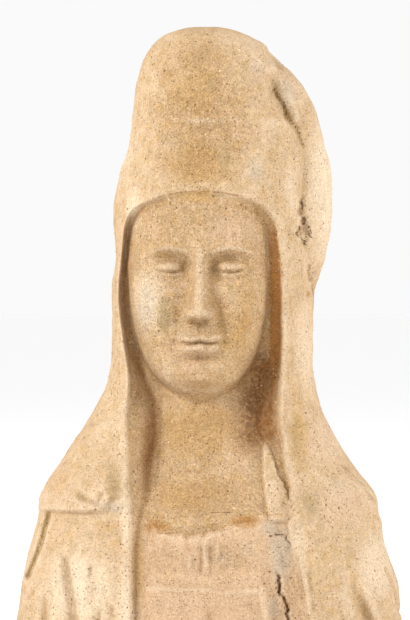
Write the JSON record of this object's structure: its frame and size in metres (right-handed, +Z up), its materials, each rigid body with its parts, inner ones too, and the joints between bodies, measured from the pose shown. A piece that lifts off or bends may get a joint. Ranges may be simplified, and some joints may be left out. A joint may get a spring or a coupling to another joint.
{
  "type": "terracotta hooded figure bust",
  "caption": "Mould-made terracotta figure in a tall hood and long veil, head and shoulders, cut flat below the chest to stand as a bust.",
  "frame": {"origin": "middle of the bounding box's bottom, on the flat underside", "axes": "+Z up along the figure, the figure faces -Y, +X towards the viewer's right"},
  "size_m": [0.07, 0.0414, 0.11],
  "materials": {
    "terracotta": "unglazed sandy buff fired clay, worn and pitted, with rust, olive and dark brown stains"
  },
  "bodies": {
    "root": {"hooded_bust": "terracotta"}
  },
  "joints": []
}
